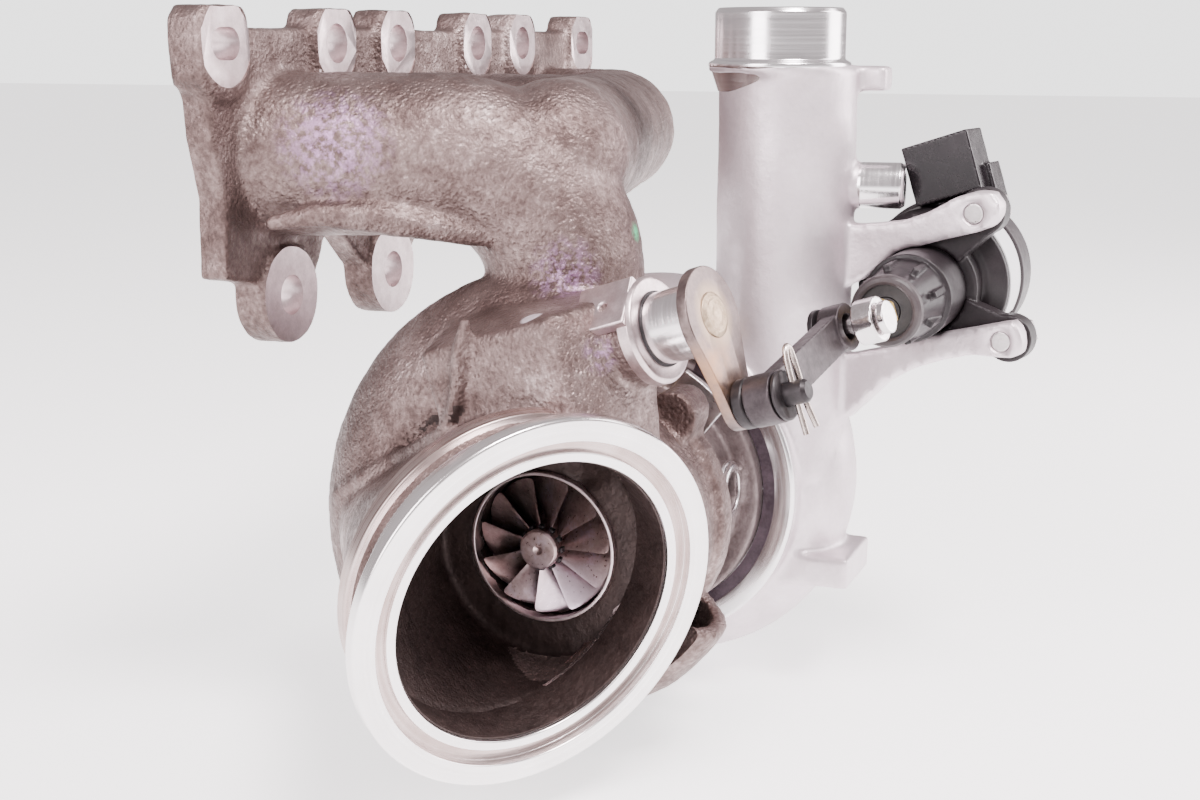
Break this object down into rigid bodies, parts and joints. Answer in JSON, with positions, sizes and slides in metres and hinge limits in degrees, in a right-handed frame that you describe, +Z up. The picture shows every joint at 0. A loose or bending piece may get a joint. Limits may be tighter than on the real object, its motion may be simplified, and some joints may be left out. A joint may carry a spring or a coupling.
{
  "type": "turbocharger",
  "caption": "Turbocharger with a cast exhaust manifold, electric wastegate actuator, floating-bearing rotor and an upright charge outlet.",
  "frame": {"origin": "on the machined face that meets the cylinder head, midway along the upper row of stud holes", "axes": "+X along the row of exhaust ports and the rotor shaft, from turbine to compressor; +Y points at the engine; +Z is up"},
  "size_m": [0.3021, 0.2009, 0.2089],
  "materials": {
    "cast_iron": "rough sand cast, machined faces brighter",
    "bearing_iron": "cast, machined at the joints",
    "heat_steel": "thin pressed sheet with heat tint",
    "steel": "turned or pressed, satin",
    "bronze": "turned",
    "cast_aluminium": "fine shell cast, satin",
    "rubber": "moulded, matte",
    "turbine_alloy": "investment cast nickel alloy",
    "shaft_steel": "ground",
    "milled_aluminium": "milled with fine tool lines",
    "wastegate_steel": "heat-resistant steel, brown heat tint",
    "dark_steel": "black oxide",
    "bright_plating": "bright zinc plating with a yellow mark",
    "black_plastic": "moulded glass-filled plastic, fine grain",
    "connector_plastic": "moulded, glossy",
    "label": "blank white film",
    "contact_brass": "plated",
    "motor_can": "drawn can"
  },
  "bodies": {
    "housing": {"exhaust_manifold": "cast_iron", "turbine_housing": "cast_iron", "bearing_housing": "bearing_iron", "heat_shield": "heat_steel", "turbine_clamp_plates": "steel", "turbine_clamp_bolts": "steel", "journal_bearing_turbine": "bronze", "journal_bearing_compressor": "bronze", "bearing_spacer": "steel", "thrust_bearing": "bronze", "compressor_backplate": "cast_aluminium", "backplate_seal": "rubber", "snap_ring": "steel", "compressor_housing": "cast_aluminium", "wastegate_bushing": "steel", "oil_feed_union": "steel", "turbine_piston_ring": "steel", "compressor_piston_ring": "steel", "actuator_nose": "black_plastic", "actuator_body": "black_plastic", "actuator_cover": "black_plastic", "actuator_connector": "connector_plastic", "connector_pins": "contact_brass", "actuator_label": "label", "actuator_motor": "motor_can", "screw_bearing": "steel", "rod_seal": "rubber", "cover_screws": "steel", "actuator_bolts": "steel"},
    "rotor": {"turbine_wheel": "turbine_alloy", "rotor_shaft": "shaft_steel", "thrust_collar": "steel", "oil_flinger": "steel", "compressor_wheel": "milled_aluminium", "compressor_nut": "steel"},
    "wastegate": {"wastegate_spindle": "wastegate_steel", "wastegate_flap": "steel", "flap_washer": "steel", "wastegate_lever": "wastegate_steel", "lever_weld": "steel", "lever_pin": "dark_steel", "pin_washer": "dark_steel", "hairpin_clip": "steel"},
    "link": {"link_bar": "dark_steel"},
    "rod": {"push_rod": "bright_plating", "rod_lock_nut": "bright_plating", "knuckle_pin": "steel", "knuckle_washers": "dark_steel"},
    "screw": {"drive_screw": "shaft_steel"}
  },
  "joints": [
    {"name": "rotor_spin", "type": "hinge", "parent": "housing", "child": "rotor", "pos_m": [-0.036, -0.0852, -0.1335], "axis": [1, 0, 0], "continuous": true},
    {"name": "wastegate_swing", "type": "hinge", "parent": "housing", "child": "wastegate", "pos_m": [-0.098, -0.1341, -0.066], "axis": [0.1684, 0.936, -0.309], "range_deg": [0, 22]},
    {"name": "link_pivot", "type": "hinge", "parent": "wastegate", "child": "link", "pos_m": [-0.0973, -0.14161, -0.08836], "axis": [0.1684, 0.936, -0.309], "range_deg": [-22, 0]},
    {"name": "rod_slide", "type": "slide", "parent": "housing", "child": "rod", "axis": [-0.9984, 0.0512, -0.0227], "range_m": [0, 0.009]},
    {"name": "screw_spin", "type": "hinge", "parent": "housing", "child": "screw", "pos_m": [0.009, -0.16725, -0.07119], "axis": [-0.9984, 0.0512, -0.0227], "range_deg": [0, 840]}
  ],
  "couplings": [
    {"joint": "link_pivot", "follows": "wastegate_swing", "ratio": -0.9428},
    {"joint": "rod_slide", "follows": "wastegate_swing", "m_per_rad": 0.02305},
    {"joint": "screw_spin", "follows": "wastegate_swing", "ratio": 36.207}
  ]
}
